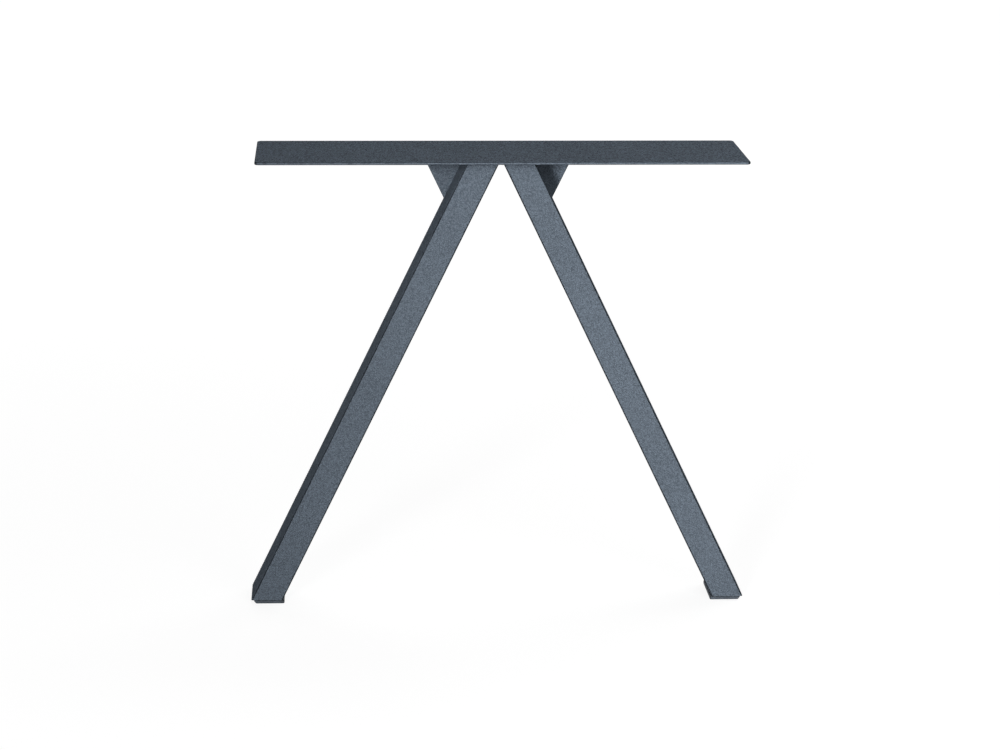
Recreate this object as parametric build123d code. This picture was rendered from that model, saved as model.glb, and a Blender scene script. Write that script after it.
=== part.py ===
from build123d import *
import math
import os

# Coffee table leg: two rectangular steel tubes set as an inverted V under a flat top plate.
# A triangular gusset behind each tube braces it to the plate, and a moulded foot closes its lower end.
# Millimetres. X runs along the plate, Y from the front of the leg to its back, Z up from the floor.

# Whole leg
overall_height = 400.0
leg_spread = 437.0  # between the outer tips of the tubes at their lower cut

# Top plate
plate_length = 422.0
plate_depth = 120.0
plate_thickness = 2.5
plate_corner_radius = 4.0
plate_edge_radius = 1.0

# Leg tubes, with their narrow side to the front
tube_width = 25.0
tube_depth = 50.0
tube_wall = 1.5
tube_inner_radius = 0.5
meeting_drop = 1.0  # from the plate's underside to where the tubes' inner faces meet

# Gussets, flat against the backs of the tubes
gusset_drop = 42.5  # height of the triangle that shows beside the tube
gusset_lap = 12.0  # width that lies on the back of the tube
gusset_thickness = 3.0
gusset_tip_radius = 3.0
gusset_edge_radius = 0.4

# Moulded feet: a pad under the tube and a ribbed hollow plug inside it
pad_thickness = 3.0
pad_overhang = 1.5  # past the tube's inner face
pad_inset = 1.5  # short of the tube's outer tip
pad_bevel = 2.5
pad_corner_radius = 1.5
pad_edge_radius = 0.4
pad_rim_radius = 0.8  # along the upper rim, which leaves a groove under the tube
plug_length = 22.0
plug_wall = 2.0
plug_clearance = 1.2  # between the plug's wall and the tube
rib_count = 3
rib_thickness = 1.0
rib_clearance = 0.1  # between the ribs and the tube

# Levels of the tubes' cuts and of the point where their inner faces meet
tube_top = overall_height - plate_thickness
tube_bottom = pad_thickness
meeting_level = tube_top - meeting_drop

# Lean of the tubes from upright: the inner face starts on the centre plane at the meeting level,
# and the outer face ends at half the spread at the lower cut.
half_spread = leg_spread / 2
leg_rise = meeting_level - tube_bottom
leg_lean = math.acos(tube_width / math.hypot(half_spread, leg_rise)) - math.atan2(leg_rise, half_spread)
lean_sin = math.sin(leg_lean)
lean_cos = math.cos(leg_lean)
lean_tan = math.tan(leg_lean)

# The tube's level cut is wider than the tube, because the tube leans
cut_width = tube_width / lean_cos
inner_foot_x = half_spread - cut_width
tube_outer_top_x = half_spread - (tube_top - tube_bottom) * lean_tan
tube_corner_radius = tube_inner_radius + tube_wall
bore_width = tube_width - 2 * tube_wall
bore_depth = tube_depth - 2 * tube_wall

# Section plane of the right leg, on its centre line at the lower cut: local X points to the outer face,
# local Y to the back and local Z up along the leg.
leg_plane = Plane(
    origin=(half_spread - cut_width / 2, 0, tube_bottom),
    x_dir=(lean_cos, 0, lean_sin),
    z_dir=(-lean_sin, 0, lean_cos),
)


def block(low, high):
    """Box between two opposite corners."""
    size = [b - a for a, b in zip(low, high)]
    middle = [(a + b) / 2 for a, b in zip(low, high)]
    return Pos(*middle) * Box(*size)


def leg_prism(width, depth, radius, start, end):
    """Rounded rectangular bar along the right leg, between two distances from its lower cut."""
    section = leg_plane.offset(start) * RectangleRounded(width, depth, radius)
    return extrude(section, amount=end - start)


def make_top_plate():
    outline = RectangleRounded(plate_length, plate_depth, plate_corner_radius)
    plate = Pos(0, 0, tube_top) * extrude(outline, amount=plate_thickness)
    rims = plate.faces().filter_by(Axis.Z).edges()
    return fillet(rims, plate_edge_radius)


def make_right_tube():
    past_cuts = tube_width + tube_depth
    length = (tube_top - tube_bottom) / lean_cos
    outside = leg_prism(tube_width, tube_depth, tube_corner_radius, -past_cuts, length + past_cuts)
    bore = leg_prism(bore_width, bore_depth, tube_inner_radius, -past_cuts, length + past_cuts)
    between_cuts = block((0, -tube_depth, tube_bottom), (leg_spread, tube_depth, tube_top))
    return (outside - bore) & between_cuts


def make_right_gusset():
    # The outer edge leans the other way from the tube, so the triangle is an isosceles one.
    reach = 2 * gusset_drop * lean_tan
    outer_top = (tube_outer_top_x + reach, tube_top)
    inner_top = (tube_outer_top_x - gusset_lap / lean_cos, tube_top)
    half_base = (outer_top[0] - inner_top[0]) / 2
    tip = (inner_top[0] + half_base, tube_top - half_base / lean_tan)
    triangle = make_face(Polyline(outer_top, inner_top, tip, close=True))
    triangle = fillet(triangle.vertices().sort_by(Axis.Y)[0], gusset_tip_radius)
    tube_back = Plane(origin=(0, tube_depth / 2, 0), x_dir=(1, 0, 0), z_dir=(0, -1, 0))
    gusset = extrude(tube_back * triangle, amount=-gusset_thickness)
    rims = gusset.faces().filter_by(Axis.Y).edges()
    below_plate = rims.filter_by(lambda edge: edge.center().Z < tube_top - gusset_edge_radius)
    return fillet(below_plate, gusset_edge_radius)


def make_pad():
    inner_end = inner_foot_x - pad_overhang
    outer_end = half_spread - pad_inset
    profile = make_face(
        Polyline(
            (inner_end, 0),
            (inner_end, pad_thickness),
            (outer_end, pad_thickness),
            (outer_end - pad_bevel, 0),
            close=True,
        )
    )
    pad = extrude(Plane.XZ * profile, amount=tube_depth / 2, both=True)
    ends = pad.faces().sort_by(Axis.X)
    end_edges = ShapeList(ends[0].edges() + ends[-1].edges())
    pad = fillet(end_edges.filter_by(Axis.Y, reverse=True), pad_corner_radius)
    level_faces = pad.faces().filter_by(Axis.Z).sort_by(Axis.Z)
    pad = fillet(level_faces[-1].edges(), pad_rim_radius)
    return fillet(pad.faces().sort_by(Axis.Z)[0].edges(), pad_edge_radius)


def make_right_foot():
    # The plug is whole above the high side of the tube's slanting lower cut.
    whole_from = tube_width / 2 * lean_tan
    plug_end = whole_from + plug_length
    plug_width = bore_width - 2 * plug_clearance
    plug_depth = bore_depth - 2 * plug_clearance
    plug = leg_prism(plug_width, plug_depth, tube_inner_radius, -tube_depth, plug_end)
    for number in range(rib_count):
        rib_start = whole_from + plug_length * (number + 1) / (rib_count + 1)
        rib_width = bore_width - 2 * rib_clearance
        rib_depth = bore_depth - 2 * rib_clearance
        plug += leg_prism(rib_width, rib_depth, tube_inner_radius, rib_start, rib_start + rib_thickness)
    core_width = plug_width - 2 * plug_wall
    core_depth = plug_depth - 2 * plug_wall
    plug -= leg_prism(core_width, core_depth, tube_inner_radius, -tube_depth, plug_end)
    above_pad = block((0, -tube_depth, tube_bottom), (leg_spread, tube_depth, overall_height))
    return make_pad() + (plug & above_pad)


os.makedirs("parts", exist_ok=True)
export_step(make_top_plate(), "parts/top_plate.step")
right_pieces = {"leg_tube": make_right_tube(), "gusset": make_right_gusset(), "foot": make_right_foot()}
for name, piece in right_pieces.items():
    export_step(piece, f"parts/right_{name}.step")
    export_step(mirror(piece, about=Plane.YZ), f"parts/left_{name}.step")
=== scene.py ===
import math
import random

import bpy
from mathutils import Matrix, Vector


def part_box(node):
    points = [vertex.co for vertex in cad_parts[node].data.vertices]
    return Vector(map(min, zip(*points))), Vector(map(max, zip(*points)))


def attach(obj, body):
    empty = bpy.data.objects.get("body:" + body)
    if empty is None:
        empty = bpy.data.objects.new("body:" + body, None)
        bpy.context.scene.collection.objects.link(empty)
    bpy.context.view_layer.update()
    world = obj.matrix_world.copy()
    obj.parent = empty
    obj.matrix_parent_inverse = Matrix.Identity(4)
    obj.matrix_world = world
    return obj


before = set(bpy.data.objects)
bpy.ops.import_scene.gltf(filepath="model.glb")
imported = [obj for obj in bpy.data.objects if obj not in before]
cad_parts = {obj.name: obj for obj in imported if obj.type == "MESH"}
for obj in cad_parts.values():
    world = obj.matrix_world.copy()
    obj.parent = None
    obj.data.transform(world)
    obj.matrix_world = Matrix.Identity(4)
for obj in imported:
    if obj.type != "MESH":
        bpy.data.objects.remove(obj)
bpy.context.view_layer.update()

# Looks of a welded coffee table leg: textured powder coat, moulded feet, and the welds that hold it together.
# Metres. X runs along the plate, Y from the front of the leg to its back, Z up from the floor.

# Camera, fitted to the straight edges of the photograph
image_width = 1000
focal_pixels = 3055.8
sensor_width = 36.0
camera_place = Vector((-0.14674, -2.61785, 0.81543))
camera_yaw = math.radians(3.243)  # to the right of +Y
camera_pitch = math.radians(13.194)  # below the horizon
camera_roll = math.radians(0.449)

# Studio light. A lamp's level is what a face turned straight to it shows of its colour. Its side is measured
# from the front towards the left and its height from the horizon, both in degrees.
leg_middle = Vector((0.0, 0.0, 0.2))

# Key: a large soft spot, aimed past the upper right so that its beam fades towards the left foot
key_level = 2.45  # before its beam fades
key_side = 16.0
key_height = 11.0
key_distance = 6.0
key_size = 0.9
key_beam = 0.9  # half the width of the beam at the leg
key_aim = Vector((0.65, 0.0, 0.42))

# Fill: a soft lamp close to the right
fill_level = 0.24
fill_side = -25.0
fill_height = 16.0
fill_distance = 1.6
fill_size = 0.43

# Back: a wide, distant light from behind, for the plate's top and the backs of the tubes
back_level = 0.41
back_side = 205.0
back_height = 40.0
back_spread = 60.0

# Surroundings: a pale floor that glows for the camera, so that away from the leg it is a white backdrop
ambient_level = 0.02
floor_size = 60.0
floor_grey = 0.25
floor_glow = 0.89
backdrop_glow = 0.945
backdrop_start = 0.35
backdrop_end = 1.6

# Most of a noise texture's values lie between these two
noise_low = 0.3
noise_high = 0.7

# Powder coat: light and dark flakes over one colour, with painted shade on rounded corners
coat_colour = (0.134, 0.163, 0.199, 1.0)
coat_specular = 0.004
coat_bump = 0.8
coat_bump_depth = 0.0006
flake_share = 0.85  # of the spots, the rest being soft clumps
clump_scale = 800.0
peel_scale = 2400.0
peel_share = 0.6  # of its bump, next to the clumps'
cloud_scale = 11.0
cloud_strength = 0.05
coat_smooth = 0.82
coat_rough = 0.98
plate_flakes = 1300.0  # to a metre
frame_flakes = 1400.0
# The plate's flakes are stronger on faces that look up or down: the flakes are the coat's own, and the extra
# strength is painted glints and shade of light grazing it
plate_speckle_and_glints = 0.8
frame_speckle = 0.4

# Painted shade on rounded corners: what the middle of a rounded corner keeps of the colour, standing in for
# the shade that falls there. A corner starts and is full where the largest part of its normal, along the
# piece's own axes, falls to these values.
corner_start = 0.93
corner_full = 0.82
plate_corner_painted_shade = 0.3
tube_corner_painted_shade = 0.18
gusset_corner_painted_shade = 0.4
weld_corner_painted_shade = 0.9
foot_rim_painted_shade = 0.15

# Moulded feet
foot_dark = (0.056, 0.068, 0.084, 1.0)
foot_light = (0.094, 0.112, 0.134, 1.0)
foot_cloud_scale = 260.0
foot_grain_scale = 1500.0
foot_smooth = 0.55
foot_rough = 0.75
foot_specular = 0.25
foot_bump = 0.3
foot_bump_depth = 0.0002

# Tube section and the place where the tubes' inner faces meet, as built
tube_width = 0.025
tube_corner_radius = 0.0020
meeting_drop = 0.001

# Weld beads
weld_leg = 0.0030
weld_pitch = 0.0017
weld_ripple = 0.16
weld_jitter = 0.02
weld_blunt = 0.02  # keeps the ends from closing to a point
weld_sink = 0.0003
weld_hollow = 0.14
weld_arc_steps = 8
weld_rings_per_pitch = 6


def add_node(tree, kind, properties, inputs):
    """Adds a shader node. An input given as a socket is linked, and any other is set."""
    made = tree.nodes.new(kind)
    for key, value in properties.items():
        setattr(made, key, value)
    for key, value in inputs.items():
        if isinstance(value, bpy.types.NodeSocket):
            tree.links.new(value, made.inputs[key])
        else:
            made.inputs[key].default_value = value
    return made


def new_surface(name):
    """A material with a Principled shader: returns the material, its tree and the shader."""
    material = bpy.data.materials.new(name)
    material.use_nodes = True
    tree = material.node_tree
    return material, tree, tree.nodes["Principled BSDF"]


def ramp(tree, fac, stops):
    """A colour ramp through (position, colour) stops."""
    made = add_node(tree, "ShaderNodeValToRGB", {}, {"Fac": fac})
    elements = made.color_ramp.elements
    while len(elements) < len(stops):
        elements.new(0.5)
    for element, (position, colour) in zip(elements, stops):
        element.position = position
        element.color = colour
    return made.outputs["Color"]


def math_value(tree, operation, *values):
    """The result of a Math node."""
    made = add_node(tree, "ShaderNodeMath", {"operation": operation}, dict(enumerate(values)))
    return made.outputs["Value"]


def normal_parts(tree):
    normal = add_node(tree, "ShaderNodeNewGeometry", {}, {}).outputs["Normal"]
    return add_node(tree, "ShaderNodeSeparateXYZ", {}, {"Vector": normal}).outputs


def painted_corner_shade(tree, place, lean, kept):
    """Painted shade for rounded corners: 1 on flat faces, and kept in the middle of rounded corners. lean is
    that of the piece's length.
    """
    turned = normal_parts(tree)
    spot = add_node(tree, "ShaderNodeSeparateXYZ", {}, {"Vector": place}).outputs
    outward = math_value(tree, "MULTIPLY", turned["X"], math_value(tree, "SIGN", spot["X"]))
    upward = math_value(tree, "MULTIPLY", turned["Z"], math.sin(lean))
    across = math_value(tree, "MULTIPLY_ADD", outward, math.cos(lean), upward)
    downward = math_value(tree, "MULTIPLY", turned["Z"], -math.cos(lean))
    along = math_value(tree, "MULTIPLY_ADD", outward, math.sin(lean), downward)
    flatness = math_value(tree, "ABSOLUTE", turned["Y"])
    for part in (across, along):
        flatness = math_value(tree, "MAXIMUM", flatness, math_value(tree, "ABSOLUTE", part))
    return add_node(
        tree, "ShaderNodeMapRange", {},
        {"Value": flatness, "From Min": corner_full, "From Max": corner_start, "To Min": kept, "To Max": 1.0},
    ).outputs["Result"]


def coated_steel(name, flake_scale, level_speckle_and_glints, lean, corner):
    """Textured powder coat. The third argument is the strength of the flakes on faces that look up or down;
    where it is above frame_speckle, the extra is painted glints and shade of light grazing the coat's
    texture. The last argument is the painted shade kept in the middle of rounded corners.
    """
    material, tree, shader = new_surface(name)
    place = add_node(tree, "ShaderNodeTexCoord", {}, {}).outputs["Object"]
    flake_colour = add_node(
        tree, "ShaderNodeTexVoronoi", {}, {"Vector": place, "Scale": flake_scale}
    ).outputs["Color"]
    flakes = add_node(tree, "ShaderNodeSeparateColor", {}, {"Color": flake_colour}).outputs["Red"]
    clumps = add_node(
        tree, "ShaderNodeTexNoise", {}, {"Vector": place, "Scale": clump_scale, "Detail": 2.0}
    ).outputs["Fac"]
    peel = add_node(
        tree, "ShaderNodeTexNoise", {}, {"Vector": place, "Scale": peel_scale, "Detail": 1.0}
    ).outputs["Fac"]
    cloud = add_node(
        tree, "ShaderNodeTexNoise", {}, {"Vector": place, "Scale": cloud_scale, "Detail": 3.0}
    ).outputs["Fac"]
    mixed = math_value(
        tree, "MULTIPLY_ADD", flakes, flake_share, math_value(tree, "MULTIPLY", clumps, 1 - flake_share)
    )
    # Flakes stronger on faces that look up or down: beyond frame_speckle this is painted glints and shade of
    # light grazing the texture
    strength = add_node(
        tree, "ShaderNodeMapRange", {},
        {
            "Value": math_value(tree, "ABSOLUTE", normal_parts(tree)["Z"]),
            "From Min": corner_start, "To Min": frame_speckle, "To Max": level_speckle_and_glints,
        },
    ).outputs["Result"]
    centred = math_value(tree, "MULTIPLY_ADD", mixed, 2.0, -1.0)
    spots = math_value(tree, "MULTIPLY_ADD", centred, strength, 1.0)
    shade = add_node(
        tree, "ShaderNodeMapRange", {},
        {
            "Value": cloud, "From Min": noise_low, "From Max": noise_high,
            "To Min": 1 - cloud_strength, "To Max": 1 + cloud_strength,
        },
    ).outputs["Result"]
    # Painted shade on rounded corners, multiplied into the coat's colour
    for factor in (spots, painted_corner_shade(tree, place, lean, corner)):
        shade = math_value(tree, "MULTIPLY", shade, factor)
    colour = add_node(
        tree, "ShaderNodeHueSaturation", {}, {"Color": coat_colour, "Value": shade}
    ).outputs["Color"]
    height = math_value(tree, "MULTIPLY_ADD", peel, peel_share, clumps)
    bump = add_node(
        tree, "ShaderNodeBump", {},
        {"Height": height, "Strength": coat_bump, "Distance": coat_bump_depth},
    ).outputs["Normal"]
    rough = add_node(
        tree, "ShaderNodeMapRange", {},
        {
            "Value": peel, "From Min": noise_low, "From Max": noise_high,
            "To Min": coat_smooth, "To Max": coat_rough,
        },
    ).outputs["Result"]
    tree.links.new(colour, shader.inputs["Base Color"])
    tree.links.new(rough, shader.inputs["Roughness"])
    tree.links.new(bump, shader.inputs["Normal"])
    shader.inputs["Specular IOR Level"].default_value = coat_specular
    return material


def foot_plastic():
    material, tree, shader = new_surface("foot_plastic_look")
    place = add_node(tree, "ShaderNodeTexCoord", {}, {}).outputs["Object"]
    cells = add_node(
        tree, "ShaderNodeTexVoronoi", {}, {"Vector": place, "Scale": foot_grain_scale}
    ).outputs["Distance"]
    cloud = add_node(
        tree, "ShaderNodeTexNoise", {}, {"Vector": place, "Scale": foot_cloud_scale, "Detail": 3.0}
    ).outputs["Fac"]
    grain = ramp(tree, cloud, [(noise_low, foot_dark), (noise_high, foot_light)])
    # Painted shade on the foot's rounded rim: a dark line under the tube
    shade = painted_corner_shade(tree, place, 0.0, foot_rim_painted_shade)
    colour = add_node(tree, "ShaderNodeHueSaturation", {}, {"Color": grain, "Value": shade}).outputs["Color"]
    bump = add_node(
        tree, "ShaderNodeBump", {},
        {"Height": cells, "Strength": foot_bump, "Distance": foot_bump_depth},
    ).outputs["Normal"]
    rough = add_node(
        tree, "ShaderNodeMapRange", {}, {"Value": cells, "To Min": foot_smooth, "To Max": foot_rough}
    ).outputs["Result"]
    tree.links.new(colour, shader.inputs["Base Color"])
    tree.links.new(rough, shader.inputs["Roughness"])
    tree.links.new(bump, shader.inputs["Normal"])
    shader.inputs["Specular IOR Level"].default_value = foot_specular
    return material


def seen_directly(tree):
    """1 for rays that show the background: from the camera, or by way of gloss or glass."""
    path = add_node(tree, "ShaderNodeLightPath", {}, {}).outputs
    seen = path["Is Camera Ray"]
    for ray in ("Is Glossy Ray", "Is Transmission Ray"):
        seen = math_value(tree, "MAXIMUM", seen, path[ray])
    return seen


def make_floor():
    half = floor_size / 2
    mesh = bpy.data.meshes.new("floor")
    corners = [(-half, -half, 0), (half, -half, 0), (half, half, 0), (-half, half, 0)]
    mesh.from_pydata(corners, [], [(0, 1, 2, 3)])
    floor = bpy.data.objects.new("floor", mesh)
    bpy.context.scene.collection.objects.link(floor)
    material = bpy.data.materials.new("floor_look")
    material.use_nodes = True
    tree = material.node_tree
    tree.nodes.clear()
    paper = add_node(
        tree, "ShaderNodeBsdfDiffuse", {}, {"Color": (floor_grey, floor_grey, floor_grey, 1.0)}
    ).outputs["BSDF"]
    place = add_node(tree, "ShaderNodeTexCoord", {}, {}).outputs["Object"]
    distance = add_node(tree, "ShaderNodeVectorMath", {"operation": "LENGTH"}, {0: place}).outputs["Value"]
    level = add_node(
        tree, "ShaderNodeMapRange", {},
        {
            "Value": distance, "From Min": backdrop_start, "From Max": backdrop_end,
            "To Min": floor_glow, "To Max": backdrop_glow,
        },
    ).outputs["Result"]
    strength = math_value(tree, "MULTIPLY", seen_directly(tree), level)
    glow = add_node(tree, "ShaderNodeEmission", {}, {"Strength": strength}).outputs["Emission"]
    both = add_node(tree, "ShaderNodeAddShader", {}, {0: paper, 1: glow}).outputs["Shader"]
    add_node(tree, "ShaderNodeOutputMaterial", {}, {"Surface": both})
    mesh.materials.append(material)


def make_world():
    world = bpy.data.worlds.new("studio")
    world.use_nodes = True
    tree = world.node_tree
    tree.nodes.clear()
    light = add_node(tree, "ShaderNodeBackground", {}, {"Strength": ambient_level}).outputs["Background"]
    white = add_node(tree, "ShaderNodeBackground", {}, {"Strength": 1.0}).outputs["Background"]
    for shade in tree.nodes:
        shade.inputs["Color"].default_value = (1.0, 1.0, 1.0, 1.0)
    both = add_node(
        tree, "ShaderNodeMixShader", {}, {0: seen_directly(tree), 1: light, 2: white}
    ).outputs["Shader"]
    add_node(tree, "ShaderNodeOutputWorld", {}, {"Surface": both})
    bpy.context.scene.world = world


def direction(side, height):
    """Unit vector to a lamp. side is measured from the front towards the left, both in degrees."""
    turn = math.radians(side)
    rise = math.radians(height)
    return Vector((-math.sin(turn) * math.cos(rise), -math.cos(turn) * math.cos(rise), math.sin(rise)))


def add_lamp(data, place, backwards):
    lamp = bpy.data.objects.new(data.name, data)
    lamp.location = place
    lamp.rotation_mode = "QUATERNION"
    lamp.rotation_quaternion = backwards.to_track_quat("Z", "Y")
    lamp.visible_camera = False
    bpy.context.scene.collection.objects.link(lamp)


def lamp_power(level, distance):
    return level * (2 * math.pi * distance) ** 2


def make_lamps():
    key = bpy.data.lights.new("key", "SPOT")
    key.energy = lamp_power(key_level, key_distance)
    key.shadow_soft_size = key_size
    key.spot_size = 2 * math.atan(key_beam / key_distance)
    key.spot_blend = 1.0
    key_place = leg_middle + direction(key_side, key_height) * key_distance
    add_lamp(key, key_place, key_place - key_aim)
    fill = bpy.data.lights.new("fill", "POINT")
    fill.energy = lamp_power(fill_level, fill_distance)
    fill.shadow_soft_size = fill_size
    fill_towards = direction(fill_side, fill_height)
    add_lamp(fill, leg_middle + fill_towards * fill_distance, fill_towards)
    back = bpy.data.lights.new("back", "SUN")
    back.energy = back_level * math.pi
    back.angle = math.radians(back_spread)
    add_lamp(back, leg_middle, direction(back_side, back_height))


def make_camera():
    data = bpy.data.cameras.new("camera")
    data.sensor_width = sensor_width
    data.lens = focal_pixels * sensor_width / image_width
    camera = bpy.data.objects.new("camera", data)
    turn = Matrix.Rotation(-camera_yaw, 4, "Z")
    tilt = Matrix.Rotation(math.pi / 2 - camera_pitch, 4, "X")
    roll = Matrix.Rotation(camera_roll, 4, "Z")
    camera.matrix_world = Matrix.Translation(camera_place) @ turn @ tilt @ roll
    bpy.context.scene.collection.objects.link(camera)
    bpy.context.scene.camera = camera


def weld_bead(name, start, end, wall_a, wall_b, material):
    """Rippled fillet weld along a corner. wall_a and wall_b point away from it along its two sides."""
    rng = random.Random(name)
    length = (end - start).length
    ring_count = max(12, round(length / weld_pitch * weld_rings_per_pitch))
    sunk = -(wall_a + wall_b).normalized() * weld_sink
    points = []
    for ring in range(ring_count + 1):
        along = length * ring / ring_count
        from_end = min(along, length - along, weld_leg) / weld_leg
        taper = math.sqrt(max(1 - (1 - from_end) ** 2, weld_blunt))
        wave = abs(math.sin(math.pi * along / weld_pitch))
        uneven = rng.uniform(-weld_jitter, weld_jitter)
        size = weld_leg * taper * (1 - weld_ripple + weld_ripple * wave + uneven)
        centre = start.lerp(end, ring / ring_count)
        points.append(centre + sunk)
        for step in range(weld_arc_steps + 1):
            angle = math.pi / 2 * step / weld_arc_steps
            reach = size * (1 - weld_hollow * math.sin(2 * angle))
            points.append(centre + sunk + (wall_a * math.cos(angle) + wall_b * math.sin(angle)) * reach)
    row = weld_arc_steps + 2
    faces = []
    for ring in range(ring_count):
        for step in range(row):
            following = (step + 1) % row
            faces.append(
                (
                    ring * row + step,
                    ring * row + following,
                    (ring + 1) * row + following,
                    (ring + 1) * row + step,
                )
            )
    faces.append(tuple(reversed(range(row))))
    faces.append(tuple(ring_count * row + step for step in range(row)))
    mesh = bpy.data.meshes.new(name)
    mesh.from_pydata([tuple(point) for point in points], [], faces)
    if (end - start).dot(wall_a.cross(wall_b)) < 0:
        mesh.flip_normals()
    mesh.shade_smooth()
    mesh.materials.append(material)
    bead = bpy.data.objects.new(name, mesh)
    bpy.context.scene.collection.objects.link(bead)
    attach(bead, "root")


def make_welds(lean, material):
    plate_low, plate_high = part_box("top_plate")
    tube_low, tube_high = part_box("right_leg_tube")
    gusset_low, gusset_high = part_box("right_gusset")
    under = plate_low.z
    outer_x = tube_high.x - (under - tube_low.z) * math.tan(lean)
    down = Vector((0, 0, -1))
    back = Vector((0, 1, 0))
    for name, side in (("left", -1), ("right", 1)):
        out = Vector((side, 0, 0))
        down_tube = Vector((side * math.sin(lean), 0, -math.cos(lean)))
        weld_bead(
            name + "_side_weld",
            Vector((side * outer_x, tube_low.y + tube_corner_radius, under)),
            Vector((side * outer_x, gusset_low.y - tube_corner_radius, under)),
            out, down_tube, material,
        )
        weld_bead(
            name + "_gusset_weld",
            Vector((side * gusset_low.x, gusset_high.y, under)),
            Vector((side * gusset_high.x, gusset_high.y, under)),
            back, down, material,
        )
        inner_top = Vector((side * gusset_low.x, gusset_low.y, under))
        edge_length = (under - gusset_low.z) / math.cos(lean)
        weld_bead(
            name + "_lap_weld",
            inner_top + down_tube * weld_leg,
            inner_top + down_tube * (edge_length - 2 * weld_leg),
            Vector((-side * math.cos(lean), 0, -math.sin(lean))), back, material,
        )
    weld_bead(
        "front_weld",
        Vector((-outer_x, tube_low.y, under)),
        Vector((outer_x, tube_low.y, under)),
        -back, down, material,
    )
    weld_bead(
        "back_weld",
        Vector((-gusset_low.x, tube_high.y, under)),
        Vector((gusset_low.x, tube_high.y, under)),
        back, down, material,
    )


tube_low, tube_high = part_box("right_leg_tube")
leg_rise = tube_high.z - meeting_drop - tube_low.z
leg_lean = math.acos(tube_width / math.hypot(tube_high.x, leg_rise)) - math.atan2(leg_rise, tube_high.x)
plate_coat = coated_steel("plate_coat", plate_flakes, plate_speckle_and_glints, 0.0, plate_corner_painted_shade)
tube_coat = coated_steel("tube_coat", frame_flakes, frame_speckle, leg_lean, tube_corner_painted_shade)
gusset_coat = coated_steel("gusset_coat", frame_flakes, frame_speckle, 0.0, gusset_corner_painted_shade)
weld_coat = coated_steel("weld_coat", frame_flakes, frame_speckle, 0.0, weld_corner_painted_shade)
plastic = foot_plastic()
looks = {
    "top_plate": plate_coat,
    "left_leg_tube": tube_coat,
    "right_leg_tube": tube_coat,
    "left_gusset": gusset_coat,
    "right_gusset": gusset_coat,
    "left_foot": plastic,
    "right_foot": plastic,
}
for name, look in looks.items():
    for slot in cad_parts[name].material_slots:
        slot.material = look
make_welds(leg_lean, weld_coat)
make_floor()
make_world()
make_lamps()
make_camera()
bpy.context.scene.view_settings.view_transform = "Standard"
